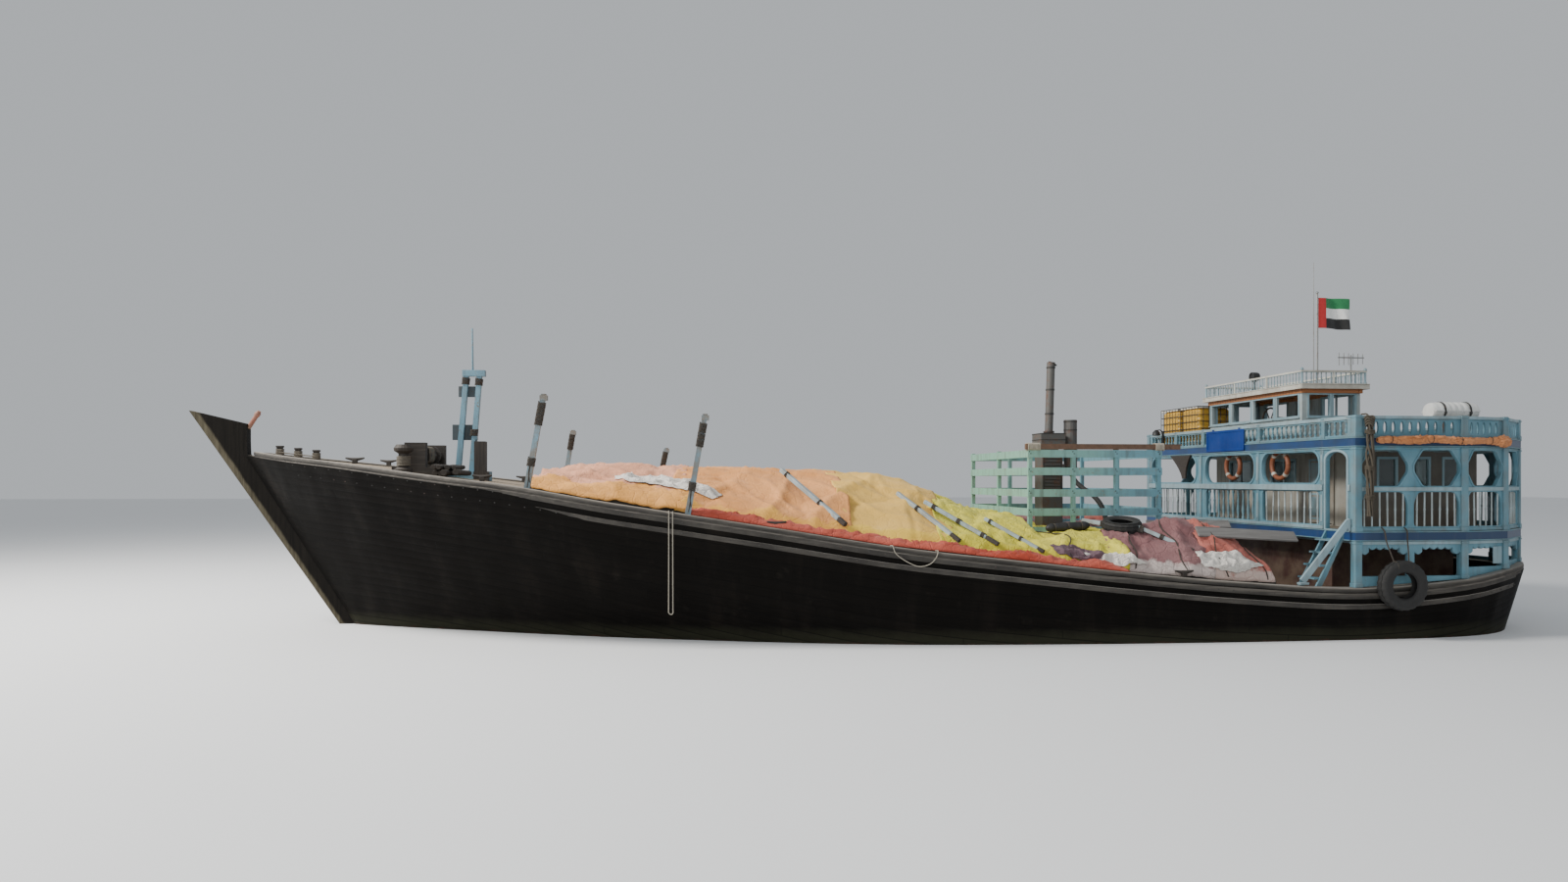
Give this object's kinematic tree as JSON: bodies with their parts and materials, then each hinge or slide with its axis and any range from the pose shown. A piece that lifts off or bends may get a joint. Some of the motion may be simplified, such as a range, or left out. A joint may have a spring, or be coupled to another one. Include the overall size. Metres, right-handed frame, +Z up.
{
  "type": "motor cargo dhow",
  "caption": "Wooden motor cargo dhow with raked stem, covered hold, slatted pen, galleried stern house, low wheelhouse, propeller and rudder.",
  "frame": {"origin": "amidships on the centreline, at the waterline the boat floats at", "axes": "+X to the bow, +Y to port, +Z up"},
  "size_m": [30.4294, 9.6322, 11.24],
  "materials": {
    "oiled_wood": "dark oiled planking, worn",
    "weathered_wood": "grey-brown weathered timber",
    "deck_wood": "dry pale planks",
    "bronze": "dull cast bronze",
    "cover_white": "sunlit coated cloth",
    "cover_tan": "sunlit coated cloth",
    "cover_amber": "sunlit coated cloth",
    "cover_lemon": "sunlit coated cloth",
    "cover_mauve": "faded coated cloth",
    "cover_salmon": "faded coated cloth",
    "post_blue": "chalky painted timber",
    "mint_paint": "chalky painted boards",
    "stack_steel": "dull grey steel",
    "navy_paint": "glossy band over painted planks",
    "blue_paint": "light blue painted timber",
    "red_brown_paint": "red-brown painted boards",
    "white_paint": "off-white painted boards",
    "roof_paint": "orange-brown underside, pale top",
    "tank_amber": "yellowed tank plastic",
    "raft_white": "white moulded plastic",
    "awning_orange": "rolled cloth",
    "fender_rubber": "worn rubber",
    "rope": "laid rope",
    "flag_cloth": "plain flag cloth",
    "aerial_metal": "dull aluminium"
  },
  "bodies": {
    "boat": {"hull": "oiled_wood", "stern_bulwark": "oiled_wood", "rail_port": "weathered_wood", "rail_starboard": "weathered_wood", "stem_post": "oiled_wood", "keel": "oiled_wood", "stern_post": "oiled_wood", "foredeck": "deck_wood", "hold_hatch": "weathered_wood", "cover_white": "cover_white", "cover_tan": "cover_tan", "cover_amber": "cover_amber", "cover_lemon": "cover_lemon", "cover_mauve": "cover_mauve", "cover_salmon": "cover_salmon", "windlass_bitts": "oiled_wood", "bollard": "oiled_wood", "stub_mast": "post_blue", "rail_post_port_fore": "post_blue", "rail_post_port_mid": "post_blue", "rail_post_starboard_fore": "post_blue", "rail_post_starboard_mid": "post_blue", "stock_pen": "mint_paint", "exhaust_stack": "stack_steel", "gallery_deck": "navy_paint", "gallery_front": "blue_paint", "gallery_port": "blue_paint", "gallery_starboard": "blue_paint", "gallery_stern": "blue_paint", "screen_port": "blue_paint", "screen_starboard": "blue_paint", "screen_stern": "blue_paint", "lower_house": "red_brown_paint", "stair": "blue_paint", "upper_deck": "navy_paint", "upper_rail_front": "blue_paint", "upper_rail_aft": "blue_paint", "cabin_front": "white_paint", "cabin_shell": "white_paint", "wheelhouse_front": "white_paint", "wheelhouse_shell": "white_paint", "wheelhouse_roof": "roof_paint", "helm_pedestal": "white_paint", "water_tanks": "tank_amber", "life_raft": "raft_white", "awning_roll": "awning_orange", "tyre_fender": "fender_rubber", "rope_loop": "rope", "rope_sag": "rope", "flagstaff": "stack_steel", "flag": "flag_cloth", "whip_antenna": "raft_white", "aerial": "aerial_metal"},
    "propeller": {"propeller": "bronze"},
    "rudder": {"rudder": "oiled_wood"},
    "windlass_barrel": {"windlass_barrel": "oiled_wood"},
    "cabin_door": {"cabin_door": "white_paint"},
    "wheelhouse_door": {"wheelhouse_door": "white_paint"},
    "steering_wheel": {"steering_wheel": "deck_wood"}
  },
  "joints": [
    {"name": "propeller_spin", "type": "hinge", "parent": "boat", "child": "propeller", "pos_m": [-13.45, 0, -1.6], "axis": [1, 0, 0], "continuous": true},
    {"name": "rudder_turn", "type": "hinge", "parent": "boat", "child": "rudder", "pos_m": [-14.55, 0, -1.2], "axis": [0, 0, 1], "range_deg": [-35, 35]},
    {"name": "helm_turn", "type": "hinge", "parent": "boat", "child": "steering_wheel", "pos_m": [-10.85, 0, 4.8], "axis": [1, 0, 0], "range_deg": [-350, 350]},
    {"name": "windlass_spin", "type": "hinge", "parent": "boat", "child": "windlass_barrel", "pos_m": [10, 0, 3.881], "axis": [0, 1, 0], "continuous": true},
    {"name": "cabin_door_swing", "type": "hinge", "parent": "boat", "child": "cabin_door", "pos_m": [-11.045, 2.16, 3.1], "axis": [0, 0, 1], "range_deg": [0, 100]},
    {"name": "wheelhouse_door_swing", "type": "hinge", "parent": "boat", "child": "wheelhouse_door", "pos_m": [-11.855, 0.41, 4.8], "axis": [0, 0, -1], "range_deg": [0, 100]}
  ],
  "couplings": [
    {"joint": "helm_turn", "follows": "rudder_turn", "ratio": 10}
  ]
}
